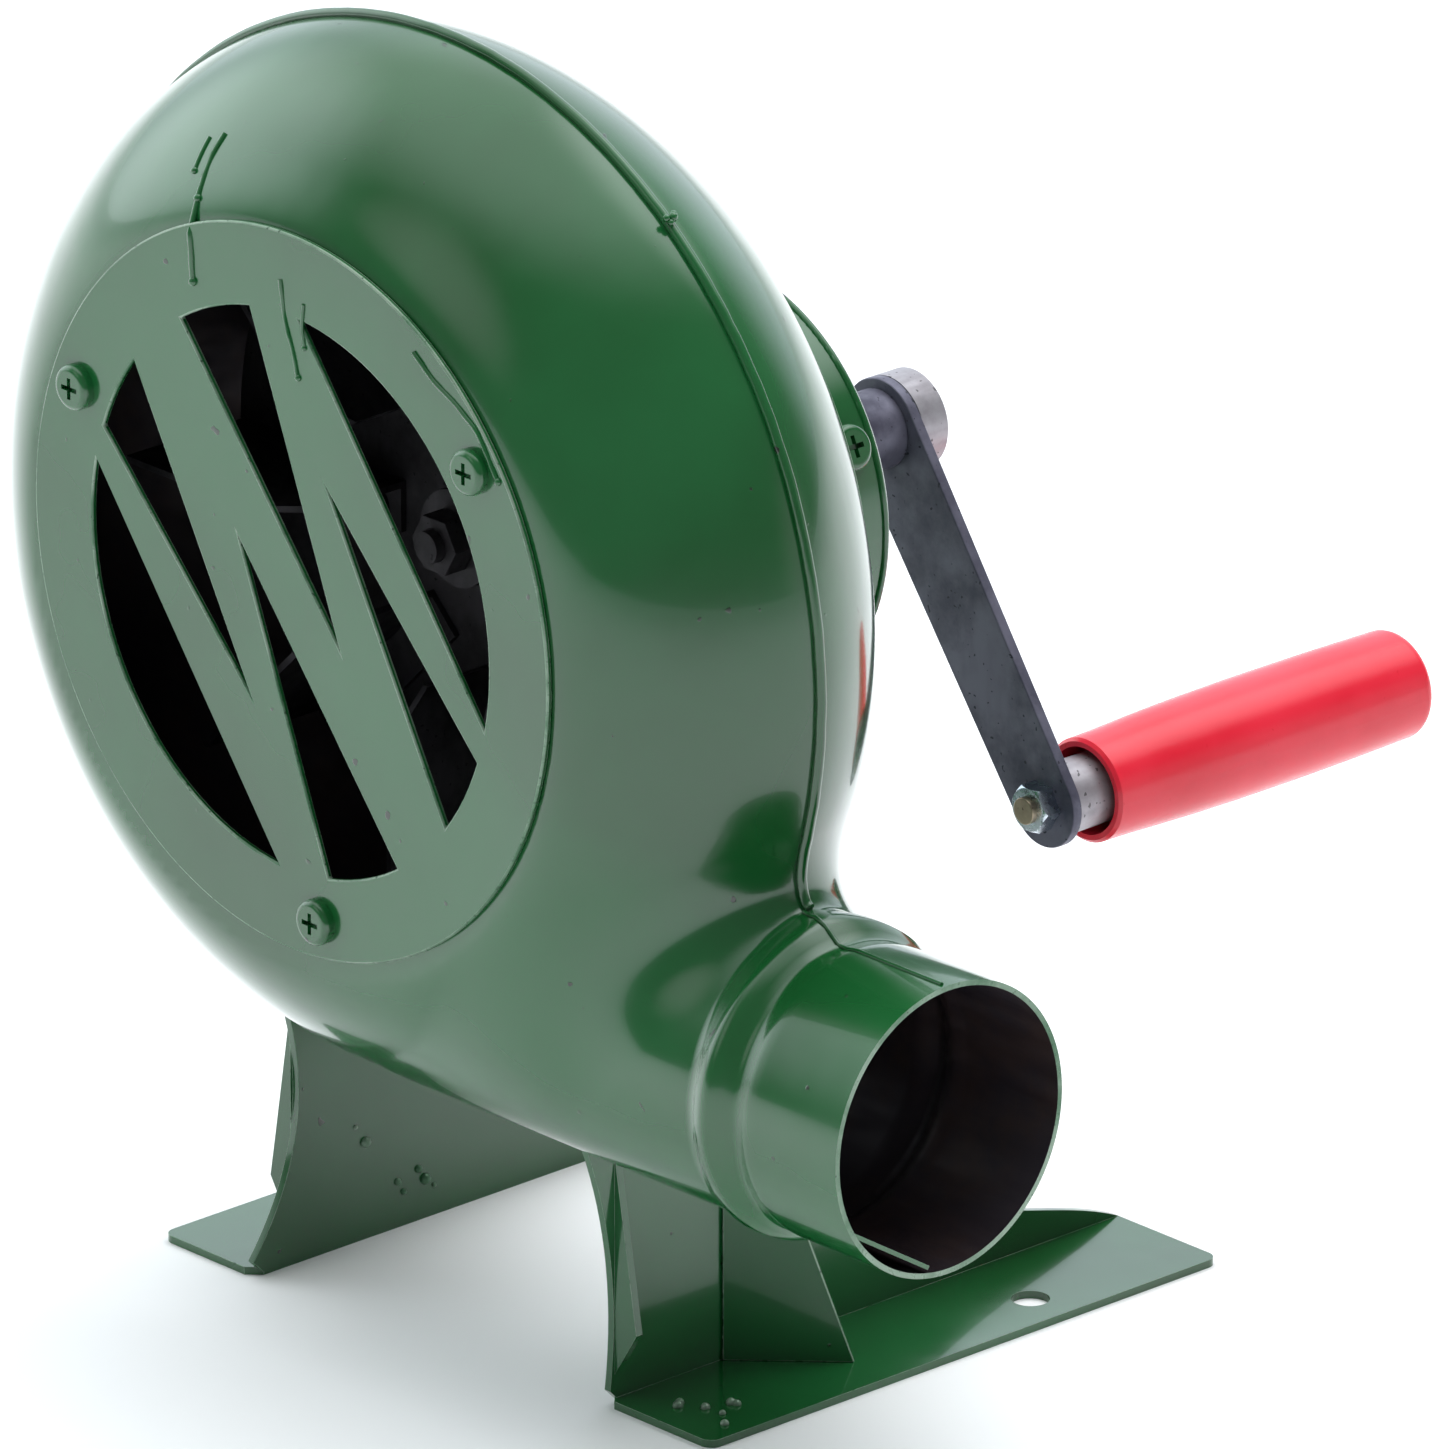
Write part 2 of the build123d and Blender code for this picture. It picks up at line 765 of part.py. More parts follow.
makers = [
    front_shell, rear_shell, seam_strip, lap_strip, inlet_grille, grille_screws,
    back_plate, plate_screws, fan_bush, cover_tabs, gear_cover, cover_screws, crank_bush,
    idler_pin, idler_spacer, idler_clip, front_foot, rear_foot, front_wing, rear_wing,
    fan_shaft, fan_pinion, impeller_disc, impeller_blades, impeller_rivets, impeller_hub, fan_nut,
    idler_gear, idler_pinion,
    crank_shaft, drive_gear, crank_spacer, crank_arm, crank_hub, hub_pin,
    handle_bolt, handle_nut, handle_sleeve, handle_washer, handle_grip,
]

for make in makers:
    shape = place(make())
    export_step(shape, "parts/" + make.__name__ + ".step")
    print(make.__name__, round(shape.volume, 1))
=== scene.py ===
import json
import math

import bmesh
import bpy
import numpy as np
from mathutils import Matrix, Vector


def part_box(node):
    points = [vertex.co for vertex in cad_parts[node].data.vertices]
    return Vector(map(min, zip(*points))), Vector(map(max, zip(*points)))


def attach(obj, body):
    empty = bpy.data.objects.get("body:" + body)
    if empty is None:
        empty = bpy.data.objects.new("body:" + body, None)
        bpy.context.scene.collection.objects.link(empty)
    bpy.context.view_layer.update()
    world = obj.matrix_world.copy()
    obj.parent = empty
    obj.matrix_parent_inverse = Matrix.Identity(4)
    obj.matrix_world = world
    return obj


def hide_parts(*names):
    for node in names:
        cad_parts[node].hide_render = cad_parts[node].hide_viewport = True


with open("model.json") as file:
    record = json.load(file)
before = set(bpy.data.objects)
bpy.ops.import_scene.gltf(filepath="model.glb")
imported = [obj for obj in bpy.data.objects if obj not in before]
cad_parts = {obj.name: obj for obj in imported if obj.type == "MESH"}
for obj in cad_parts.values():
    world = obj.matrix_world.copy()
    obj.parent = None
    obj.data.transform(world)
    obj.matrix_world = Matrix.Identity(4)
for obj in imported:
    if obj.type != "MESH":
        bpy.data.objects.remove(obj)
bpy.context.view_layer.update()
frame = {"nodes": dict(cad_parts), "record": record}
mm = 0.001
scene = bpy.context.scene
print("frame loaded:", len(frame["nodes"]), "nodes")


def nodeBox(node):
    low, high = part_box(node)
    return np.array(low) / mm, np.array(high) / mm


def middle(node):
    low, high = nodeBox(node)
    return (low + high) / 2


# places taken from the frame
seamY = nodeBox("rear_shell")[0][1]
fanAxis = middle("inlet_grille")      # x and z are used
casingMid = middle("back_plate")
mouth = next(m for m in frame["record"]["mounts"] if m["name"] == "nozzle")
mouthX, mouthZ = mouth["pos_m"][0] / mm, mouth["pos_m"][2] / mm
mouthR = mouth["dims"]["r_mm"]


def linkedObject(name, mesh):
    piece = bpy.data.objects.new(name, mesh)
    scene.collection.objects.link(piece)
    return piece


def meshFrom(name, points, faces):
    mesh = bpy.data.meshes.new(name)
    mesh.from_pydata([tuple(p) for p in points], [], faces)
    mesh.update()
    return mesh


def smoothBelow(mesh, degrees):
    mesh.polygons.foreach_set("use_smooth", [True] * len(mesh.polygons))
    mesh.set_sharp_from_angle(angle=math.radians(degrees))


def finishPiece(piece, body, slotName, *replaced):
    if replaced:
        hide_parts(*replaced)
    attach(piece, body)
    return piece


def plainMesh(piece):
    # the modifiers' result becomes the piece's own mesh
    graph = bpy.context.evaluated_depsgraph_get()
    made = bpy.data.meshes.new_from_object(piece.evaluated_get(graph), depsgraph=graph)
    piece.modifiers.clear()
    piece.data = made
    return piece


def newGroup(name, inputs, outputs):
    group = bpy.data.node_groups.new(name, "ShaderNodeTree")
    for label, kind, value in inputs:
        socket = group.interface.new_socket(name=label, in_out="INPUT", socket_type=kind)
        socket.default_value = value
    for label, kind in outputs:
        group.interface.new_socket(name=label, in_out="OUTPUT", socket_type=kind)
    start = group.nodes.new("NodeGroupInput")
    end = group.nodes.new("NodeGroupOutput")
    return group, start, end


def noiseNode(tree, coords, scale, detail=3.0, rough=0.5):
    node = tree.nodes.new("ShaderNodeTexNoise")
    node.inputs["Scale"].default_value = scale
    node.inputs["Detail"].default_value = detail
    node.inputs["Roughness"].default_value = rough
    tree.links.new(coords, node.inputs["Vector"])
    return node


def rangeNode(tree, value, fromLow, fromHigh, toLow, toHigh):
    node = tree.nodes.new("ShaderNodeMapRange")
    node.interpolation_type = "SMOOTHSTEP"
    node.inputs["From Min"].default_value = fromLow
    node.inputs["From Max"].default_value = fromHigh
    node.inputs["To Min"].default_value = toLow
    node.inputs["To Max"].default_value = toHigh
    tree.links.new(value, node.inputs["Value"])
    return node


def mathNode(tree, kind, a, b):
    node = tree.nodes.new("ShaderNodeMath")
    node.operation = kind
    for socket, given in zip(node.inputs, (a, b)):
        if isinstance(given, (int, float)):
            socket.default_value = given
        else:
            tree.links.new(given, socket)
    return node


def mixColour(tree, factor, a, b):
    node = tree.nodes.new("ShaderNodeMix")
    node.data_type = "RGBA"
    tree.links.new(factor, node.inputs["Factor"])
    for socket, given in ((node.inputs[6], a), (node.inputs[7], b)):
        if isinstance(given, tuple):
            socket.default_value = (*given, 1.0)
        else:
            tree.links.new(given, socket)
    return node.outputs[2]


def makeMottle():
    # slow colour drift plus fine specks, both as masks
    group, start, end = newGroup(
        "surfaceMottle",
        [("Vector", "NodeSocketVector", (0, 0, 0)), ("Drift Scale", "NodeSocketFloat", 14.0),
         ("Speck Scale", "NodeSocketFloat", 420.0), ("Speck Cut", "NodeSocketFloat", 0.72)],
        [("Drift", "NodeSocketFloat"), ("Specks", "NodeSocketFloat")])
    drift = group.nodes.new("ShaderNodeTexNoise")
    drift.inputs["Detail"].default_value = 4.0
    group.links.new(start.outputs["Vector"], drift.inputs["Vector"])
    group.links.new(start.outputs["Drift Scale"], drift.inputs["Scale"])
    speck = group.nodes.new("ShaderNodeTexNoise")
    speck.inputs["Detail"].default_value = 1.0
    group.links.new(start.outputs["Vector"], speck.inputs["Vector"])
    group.links.new(start.outputs["Speck Scale"], speck.inputs["Scale"])
    cut = mathNode(group, "SUBTRACT", speck.outputs["Fac"], start.outputs["Speck Cut"])
    mask = rangeNode(group, cut.outputs[0], 0.0, 0.05, 0.0, 1.0)
    spread = rangeNode(group, drift.outputs["Fac"], 0.32, 0.68, 0.0, 1.0)
    group.links.new(spread.outputs[0], end.inputs["Drift"])
    group.links.new(mask.outputs[0], end.inputs["Specks"])
    return group


def makeGrain():
    # long fine scratches along one axis
    group, start, end = newGroup(
        "drawnGrain",
        [("Vector", "NodeSocketVector", (0, 0, 0)), ("Stretch", "NodeSocketVector", (1, 1, 1)),
         ("Scale", "NodeSocketFloat", 600.0)],
        [("Lines", "NodeSocketFloat"), ("Stains", "NodeSocketFloat")])
    pull = group.nodes.new("ShaderNodeVectorMath")
    pull.operation = "MULTIPLY"
    group.links.new(start.outputs["Vector"], pull.inputs[0])
    group.links.new(start.outputs["Stretch"], pull.inputs[1])
    lines = group.nodes.new("ShaderNodeTexNoise")
    lines.inputs["Detail"].default_value = 2.0
    group.links.new(pull.outputs[0], lines.inputs["Vector"])
    group.links.new(start.outputs["Scale"], lines.inputs["Scale"])
    stains = noiseNode(group, start.outputs["Vector"], 55.0, 6.0, 0.65)
    spread = rangeNode(group, stains.outputs["Fac"], 0.38, 0.66, 0.0, 1.0)
    group.links.new(lines.outputs["Fac"], end.inputs["Lines"])
    group.links.new(spread.outputs[0], end.inputs["Stains"])
    return group


mottleGroup = makeMottle()
grainGroup = makeGrain()


def startMaterial(name):
    material = bpy.data.materials.new(name)
    material.use_nodes = True
    tree = material.node_tree
    shader = tree.nodes["Principled BSDF"]
    coords = tree.nodes.new("ShaderNodeTexCoord").outputs["Object"]
    return material, tree, shader, coords


def placeGroup(tree, group, coords, **values):
    node = tree.nodes.new("ShaderNodeGroup")
    node.node_tree = group
    tree.links.new(coords, node.inputs["Vector"])
    for label, value in values.items():
        node.inputs[label.replace("_", " ")].default_value = value
    return node


def addBump(tree, shader, height, distance, strength=1.0, before=None):
    bump = tree.nodes.new("ShaderNodeBump")
    bump.inputs["Distance"].default_value = distance
    bump.inputs["Strength"].default_value = strength
    tree.links.new(height, bump.inputs["Height"])
    if before is not None:
        tree.links.new(before.outputs["Normal"], bump.inputs["Normal"])
    tree.links.new(bump.outputs["Normal"], shader.inputs["Normal"])
    return bump


enamel = {
    "deep": (0.004, 0.064, 0.012),
    "full": (0.009, 0.108, 0.027),
    "grime": (0.012, 0.022, 0.012),
    "rough": (0.14, 0.26),
    "peelScale": 95.0,
    "peelDepth": 0.00010,
    "scuff": (0.115, 0.100, 0.125),
    "coat": 0.6,
    "coatRough": 0.06,
    "specular": 0.55,
    "dentScale": 18.0,
    "dentDepth": 0.0009,
    "speckDepth": 0.00008,
}
# rubbed places on the casing, from the fan axis and the seam, with their radius
scuffs = ((17.2, -20.0, -87.7, 4.2), (19.0, -14.0, -94.6, 3.4), (-62.0, -24.0, 60.0, 2.6))


def scuffMask(tree, coords):
    patch = noiseNode(tree, coords, 620.0, 4.0, 0.7)
    total = None
    for x, y, z, radius in scuffs:
        reach = tree.nodes.new("ShaderNodeVectorMath")
        reach.operation = "DISTANCE"
        tree.links.new(coords, reach.inputs[0])
        reach.inputs[1].default_value = ((fanAxis[0] + x) * mm, (seamY + y) * mm, (fanAxis[2] + z) * mm)
        near = rangeNode(tree, reach.outputs["Value"], radius * mm, 0.3 * radius * mm, 0.0, 1.0)
        total = near if total is None else mathNode(tree, "MAXIMUM", total.outputs[0], near.outputs[0])
    rough = rangeNode(tree, patch.outputs["Fac"], 0.50, 0.60, 0.0, 1.0)
    return mathNode(tree, "MULTIPLY", total.outputs[0], rough.outputs[0])


def greenEnamel():
    material, tree, shader, coords = startMaterial("greenEnamel")
    mottle = placeGroup(tree, mottleGroup, coords, Drift_Scale=11.0, Speck_Scale=330.0, Speck_Cut=0.77)
    body = mixColour(tree, mottle.outputs["Drift"], enamel["deep"], enamel["full"])
    speckled = mixColour(tree, mottle.outputs["Specks"], body, enamel["grime"])
    colour = mixColour(tree, scuffMask(tree, coords).outputs[0], speckled, enamel["scuff"])
    tree.links.new(colour, shader.inputs["Base Color"])
    haze = noiseNode(tree, coords, 26.0, 5.0)
    rough = rangeNode(tree, haze.outputs["Fac"], 0.3, 0.75, *enamel["rough"])
    tree.links.new(rough.outputs[0], shader.inputs["Roughness"])
    shader.inputs["Coat Weight"].default_value = enamel["coat"]
    shader.inputs["Coat Roughness"].default_value = enamel["coatRough"]
    shader.inputs["Specular IOR Level"].default_value = enamel["specular"]
    waves = noiseNode(tree, coords, enamel["peelScale"], 1.0)
    first = addBump(tree, shader, waves.outputs["Fac"], enamel["peelDepth"])
    dents = noiseNode(tree, coords, enamel["dentScale"], 0.0)
    second = addBump(tree, shader, dents.outputs["Fac"], enamel["dentDepth"], 0.6, first)
    addBump(tree, shader, mottle.outputs["Specks"], enamel["speckDepth"], 0.8, second)
    return material


# steel inside the casing: the rust stains are real, and the near-black tone is partly painted shade inside
# the closed casing
insideSteelAndShade = {"dark": (0.030, 0.023, 0.030), "rust": (0.048, 0.030, 0.029), "rough": (0.42, 0.62)}


def bareInside():
    material, tree, shader, coords = startMaterial("bareInside")
    grain = placeGroup(tree, grainGroup, coords, Stretch=(0.2, 1.0, 1.0), Scale=260.0)
    colour = mixColour(tree, grain.outputs["Stains"], insideSteelAndShade["dark"], insideSteelAndShade["rust"])
    tree.links.new(colour, shader.inputs["Base Color"])
    rough = rangeNode(tree, grain.outputs["Lines"], 0.3, 0.7, *insideSteelAndShade["rough"])
    tree.links.new(rough.outputs[0], shader.inputs["Roughness"])
    shader.inputs["Metallic"].default_value = 0.35
    addBump(tree, shader, grain.outputs["Lines"], 0.00006)
    return material


metals = {
    "turnedSteel": {"low": (0.30, 0.28, 0.30), "high": (0.44, 0.42, 0.45), "rough": (0.42, 0.60),
                    "stretch": (1.0, 0.15, 1.0), "scale": 700.0, "metallic": 0.75},
    "zincPlate": {"low": (0.42, 0.50, 0.58), "high": (0.68, 0.74, 0.80), "rough": (0.16, 0.32),
                  "stretch": (1.0, 1.0, 1.0), "scale": 420.0, "metallic": 1.0},
    "armSteel": {"low": (0.062, 0.060, 0.090), "high": (0.150, 0.146, 0.196), "rough": (0.36, 0.58),
                 "stretch": (1.0, 1.0, 0.35), "scale": 380.0, "metallic": 0.45},
    "boltBrass": {"low": (0.20, 0.15, 0.11), "high": (0.44, 0.36, 0.26), "rough": (0.30, 0.50),
                  "stretch": (1.0, 0.3, 1.0), "scale": 500.0, "metallic": 1.0},
    # the fan's sheet is made near black: partly its own dark tone, partly painted shade inside the casing
    "fanSheet": {"low": (0.020, 0.019, 0.021), "high": (0.062, 0.058, 0.064), "rough": (0.42, 0.62),
                 "stretch": (1.0, 1.0, 0.3), "scale": 240.0, "metallic": 0.4},
    # lighter green for edges, the casing rim and weld beads: thin worn paint, and partly a painted
    # highlight along the edges
    "wornEdge": {"low": (0.060, 0.150, 0.080), "high": (0.240, 0.330, 0.250), "rough": (0.25, 0.42),
                 "stretch": (1.0, 1.0, 1.0), "scale": 500.0, "metallic": 0.3},
}


def grainedMetal(name):
    look = metals[name]
    material, tree, shader, coords = startMaterial(name)
    grain = placeGroup(tree, grainGroup, coords, Stretch=look["stretch"], Scale=look["scale"])
    mottle = placeGroup(tree, mottleGroup, coords, Drift_Scale=60.0, Speck_Scale=900.0, Speck_Cut=0.7)
    tone = mixColour(tree, grain.outputs["Stains"], look["high"], look["low"])
    colour = mixColour(tree, mottle.outputs["Specks"], tone, tuple(0.45 * c for c in look["low"]))
    tree.links.new(colour, shader.inputs["Base Color"])
    rough = rangeNode(tree, grain.outputs["Lines"], 0.3, 0.7, *look["rough"])
    tree.links.new(rough.outputs[0], shader.inputs["Roughness"])
    shader.inputs["Metallic"].default_value = look["metallic"]
    addBump(tree, shader, grain.outputs["Lines"], 0.00003)
    return material


gripLook = {"full": (0.76, 0.022, 0.046), "deep": (0.68, 0.012, 0.030), "rough": (0.19, 0.25)}


def redPlastic():
    material, tree, shader, coords = startMaterial("redPlastic")
    mottle = placeGroup(tree, mottleGroup, coords, Drift_Scale=40.0, Speck_Scale=1100.0, Speck_Cut=0.74)
    body = mixColour(tree, mottle.outputs["Drift"], gripLook["deep"], gripLook["full"])
    colour = mixColour(tree, mottle.outputs["Specks"], body, gripLook["deep"])
    tree.links.new(colour, shader.inputs["Base Color"])
    haze = noiseNode(tree, coords, 90.0, 4.0)
    rough = rangeNode(tree, haze.outputs["Fac"], 0.3, 0.75, *gripLook["rough"])
    tree.links.new(rough.outputs[0], shader.inputs["Roughness"])
    shader.inputs["Subsurface Weight"].default_value = 0.08
    shader.inputs["Subsurface Radius"].default_value = (0.004, 0.001, 0.001)
    fine = noiseNode(tree, coords, 700.0, 2.0)
    addBump(tree, shader, fine.outputs["Fac"], 0.000015)
    return material


finishes = {"greenEnamel": greenEnamel(), "bareInside": bareInside(), "redPlastic": redPlastic()}
for metalName in metals:
    finishes[metalName] = grainedMetal(metalName)
print("finishes made:", len(finishes))

slotFinish = {
    "enamel": "greenEnamel", "bright_steel": "turnedSteel", "zinc": "zincPlate", "arm_steel": "armSteel",
    "brass": "boltBrass", "fan_sheet": "fanSheet", "red_plastic": "redPlastic",
}
nodeSlot = {s["node"]: s["material_slot"] for s in frame["record"]["subparts"]}
nodeBody = {n: b for b, names in frame["record"]["behaviour"]["bodies"].items() for n in names}

for nodeName, nodeObject in frame["nodes"].items():
    nodeObject.data.materials.clear()
    nodeObject.data.materials.append(finishes[slotFinish[nodeSlot[nodeName]]])


casing = {
    "radius": nodeBox("rear_shell")[1][2] - casingMid[2] - 1.0,   # less the 1 mm seam flange
    "frontDepth": seamY - nodeBox("front_shell")[0][1],
    "backDepth": nodeBox("rear_shell")[1][1] - seamY,
    "frontRound": 29.4,
    "backRound": 35.0,
    "power": 1.6,
    "wall": 1.0,
    "ductStart": fanAxis[0] + 8.0,
    "ductHigh": 31.0,
    "ductWide": 32.0,
    "neckX": mouthX - 37.0,
    "blend": 15.0,            # how softly the duct runs into the drum
    "blendFrom": fanAxis[0] + 20.0,
    "blendTo": fanAxis[0] + 62.0,
    "grid": 1.7,
    "frontHole": 58.0,        # under the grille
    "backHole": 60.0,         # under the back plate
    "holeDepth": 25.0,        # only what lies this far from the seam is opened
    "ductBack": 40.0,         # how far the duct runs back inside the drum
}
noseSteps = ((0.0, 0.6), (5.5, 2.3), (11.0, -0.6), (15.0, 0.0))   # along from the neck, out from the collar


def easeBetween(x, steps):
    out = np.full_like(x, steps[0][1])
    for (xa, ya), (xb, yb) in zip(steps, steps[1:]):
        t = np.clip((x - xa) / (xb - xa), 0, 1)
        out = np.where(x >= xa, ya + (yb - ya) * t * t * (3 - 2 * t), out)
    return out


def drumField(p):
    rho = np.hypot(p[:, 0] - casingMid[0], p[:, 2] - casingMid[2])
    y = p[:, 1] - seamY
    depth = np.where(y < 0, casing["frontDepth"], casing["backDepth"])
    reach = np.where(y < 0, casing["frontRound"], casing["backRound"])
    flat = casing["radius"] - reach
    n = casing["power"]
    a = np.clip(rho - flat, 0, None) / reach
    b = np.abs(y) / depth
    return ((a ** n + b ** n) ** (1 / n) - 1) * reach


def ductField(p):
    x = p[:, 0]
    t = np.clip((x - casing["ductStart"]) / (casing["neckX"] - casing["ductStart"]), 0, 1)
    startZ = casingMid[2] - casing["radius"] + casing["ductHigh"] + 0.8
    neckR = mouthR + noseSteps[0][1]
    bulge = easeBetween(x - casing["neckX"], noseSteps)
    nose = x > casing["neckX"]
    high = np.where(nose, mouthR + bulge, casing["ductHigh"] + (neckR - casing["ductHigh"]) * t)
    wide = np.where(nose, mouthR + bulge, casing["ductWide"] + (neckR - casing["ductWide"]) * t)
    z = p[:, 2] - (startZ + (mouthZ - startZ) * t)
    y = p[:, 1] - seamY
    back = np.clip(casing["ductStart"] - x, 0, None) / casing["ductBack"]
    return (np.sqrt((y / wide) ** 2 + (z / high) ** 2 + back ** 2) - 1) * high


def casingField(p):
    a, b = drumField(p), ductField(p)
    t = np.clip((p[:, 0] - casing["blendFrom"]) / (casing["blendTo"] - casing["blendFrom"]), 0, 1)
    k = 0.2 + casing["blend"] * t * t * (3 - 2 * t)
    h = np.clip(0.5 + 0.5 * (b - a) / k, 0, 1)
    return b * (1 - h) + a * h - k * h * (1 - h)


def fieldSlope(p, step=0.05):
    slope = np.empty_like(p)
    for axis in range(3):
        shift = np.zeros(3)
        shift[axis] = step
        slope[:, axis] = (casingField(p + shift) - casingField(p - shift)) / (2 * step)
    return slope


def ontoCasing(p, rounds=8, keepY=False):
    for _ in range(rounds):
        slope = fieldSlope(p)
        if keepY:
            slope[:, 1] = 0
        size = np.maximum((slope ** 2).sum(1), 1e-6)
        p = p - slope * np.clip(casingField(p) / size, -2, 2)[:, None]
    return p


def roughCasing():
    # a close, plain shape to start from: the drum turned from its profile and the duct drawn along X
    turns, rings = 96, 24
    points, faces = [], []
    for i in range(rings + 1):
        angle = math.pi * i / rings
        side = math.cos(angle)
        y = side * (casing["backDepth"] if side > 0 else casing["frontDepth"])
        r = casing["radius"] * (0.55 + 0.45 * math.sin(angle))
        for k in range(turns):
            a = 2 * math.pi * k / turns
            points.append((casingMid[0] + r * math.cos(a), seamY + y, casingMid[2] + r * math.sin(a)))
    for i in range(rings):
        for k in range(turns):
            n = (k + 1) % turns
            faces.append((i * turns + k, i * turns + n, (i + 1) * turns + n, (i + 1) * turns + k))
    faces.append(tuple(range(turns))[::-1])
    faces.append(tuple(rings * turns + k for k in range(turns)))
    base = len(points)
    stops = np.linspace(casing["ductStart"] - 5, mouthX + 6, 30)
    for x in stops:
        for k in range(turns):
            a = 2 * math.pi * k / turns
            points.append((x, seamY + mouthR * math.cos(a), mouthZ + mouthR * math.sin(a)))
    for i in range(len(stops) - 1):
        for k in range(turns):
            n = (k + 1) % turns
            q = base + i * turns
            faces.append((q + k, q + n, q + turns + n, q + turns + k))
    faces.append(tuple(base + k for k in range(turns))[::-1])
    faces.append(tuple(base + (len(stops) - 1) * turns + k for k in range(turns)))
    mesh = meshFrom("roughCasing", np.array(points) * mm, faces)
    tidy = bmesh.new()
    tidy.from_mesh(mesh)
    bmesh.ops.recalc_face_normals(tidy, faces=tidy.faces)
    tidy.to_mesh(mesh)
    tidy.free()
    piece = linkedObject("roughCasing", mesh)
    remesh = piece.modifiers.new("even", "REMESH")
    remesh.mode = "VOXEL"
    remesh.voxel_size = casing["grid"] * mm
    return plainMesh(piece)


def withWall(name, outer, normals, faces, thick, border):
    # outer skin, inner skin and a rim along the open borders, with exact normals
    count = len(outer)
    points = np.vstack([outer, outer - normals * thick])
    inside = [tuple(count + v for v in reversed(f)) for f in faces]
    rim = [(b, a, a + count, b + count) for a, b in border]
    mesh = meshFrom(name, points * mm, list(faces) + inside + rim)
    mesh.polygons.foreach_set("use_smooth", [True] * len(mesh.polygons))
    marks = np.zeros(len(mesh.polygons), np.int32)
    marks[len(faces):] = 1
    marks[len(faces) + len(inside):] = 2
    mesh.polygons.foreach_set("material_index", marks)
    corners = np.zeros(len(mesh.loops), np.int32)
    mesh.loops.foreach_get("vertex_index", corners)
    shown = np.vstack([normals, -normals])[corners]
    for polygon in mesh.polygons[len(faces) + len(inside):]:
        shown[polygon.loop_start:polygon.loop_start + polygon.loop_total] = polygon.normal
    mesh.normals_split_custom_set([tuple(n) for n in shown])
    return mesh


def makeCasing():
    rough = roughCasing()
    mesh = rough.data
    p = np.empty(len(mesh.vertices) * 3)
    mesh.vertices.foreach_get("co", p)
    p = ontoCasing(p.reshape(-1, 3) / mm, 14)
    mesh.vertices.foreach_set("co", (p * mm).ravel())
    shape = bmesh.new()
    shape.from_mesh(mesh)
    bpy.data.objects.remove(rough)
    # even out the grid, staying on the surface
    for _ in range(3):
        bmesh.ops.smooth_vert(shape, verts=shape.verts, factor=0.5, use_axis_x=True, use_axis_y=True,
                              use_axis_z=True)
        p = ontoCasing(np.array([v.co for v in shape.verts]) / mm, 4)
        for v, q in zip(shape.verts, p):
            v.co = q * mm
    whole = shape.verts[:] + shape.edges[:] + shape.faces[:]
    bmesh.ops.bisect_plane(shape, geom=whole, plane_co=(mouthX * mm, 0, 0), plane_no=(1, 0, 0),
                           clear_outer=True)
    hidden = []
    for face in shape.faces:
        c = face.calc_center_median() / mm
        fromFan = math.hypot(c.x - fanAxis[0], c.z - fanAxis[2])
        fromMiddle = math.hypot(c.x - casingMid[0], c.z - casingMid[2])
        front = c.y < seamY - casing["holeDepth"] and fromFan < casing["frontHole"]
        back = c.y > seamY + casing["holeDepth"] and fromMiddle < casing["backHole"]
        if front or back:
            hidden.append(face)
    bmesh.ops.delete(shape, geom=hidden, context="FACES")
    shape.verts.index_update()
    outer = np.array([v.co for v in shape.verts]) / mm
    faces = [tuple(v.index for v in f.verts) for f in shape.faces]
    border = []
    for edge in shape.edges:
        if len(edge.link_faces) == 1:
            loop = edge.link_loops[0]
            border.append((loop.vert.index, loop.link_loop_next.vert.index))
    shape.free()
    slope = fieldSlope(outer)
    normals = slope / np.linalg.norm(slope, axis=1)[:, None]
    made = withWall("casingSkin", outer, normals, faces, casing["wall"], border)
    made.materials.append(finishes["greenEnamel"])
    # the inner skin's near-black colour is partly painted shade
    made.materials.append(finishes["bareInside"])
    # the rim takes the lighter edge colour: thin paint at the cut edge, and partly a painted highlight
    made.materials.append(finishes["wornEdge"])
    return finishPiece(linkedObject("casingSkin", made), "casing", "enamel", "front_shell", "rear_shell")


casingSkin = makeCasing()
print("casing skin:", len(casingSkin.data.polygons), "faces")


def newTree(name, inputs):
    tree = bpy.data.node_groups.new(name, "GeometryNodeTree")
    tree.is_modifier = True
    tree.interface.new_socket(name="Geometry", in_out="INPUT", socket_type="NodeSocketGeometry")
    for label, kind in inputs:
        tree.interface.new_socket(name=label, in_out="INPUT", socket_type=kind)
    tree.interface.new_socket(name="Geometry", in_out="OUTPUT", socket_type="NodeSocketGeometry")
    return tree, tree.nodes.new("NodeGroupInput"), tree.nodes.new("NodeGroupOutput")


def closeTree(tree, start, end, geometry):
    # every tree ends in real geometry with its finish set
    smooth = tree.nodes.new("GeometryNodeSetShadeSmooth")
    real = tree.nodes.new("GeometryNodeRealizeInstances")
    paint = tree.nodes.new("GeometryNodeSetMaterial")
    tree.links.new(geometry, smooth.inputs["Geometry"])
    tree.links.new(smooth.outputs[0], real.inputs["Geometry"])
    tree.links.new(real.outputs[0], paint.inputs["Geometry"])
    tree.links.new(start.outputs["Finish"], paint.inputs["Material"])
    tree.links.new(paint.outputs[0], end.inputs["Geometry"])


def grownPiece(name, source, tree, values):
    # runs the tree on the source object and keeps only the plain mesh it makes
    modifier = source.modifiers.new(tree.name, "NODES")
    modifier.node_group = tree
    for item in tree.interface.items_tree:
        if item.in_out == "INPUT" and item.name in values:
            modifier[item.identifier] = values[item.name]
    graph = bpy.context.evaluated_depsgraph_get()
    mesh = bpy.data.meshes.new_from_object(source.evaluated_get(graph), depsgraph=graph)
    bpy.data.objects.remove(source)
    mesh.name = name
    return linkedObject(name, mesh)


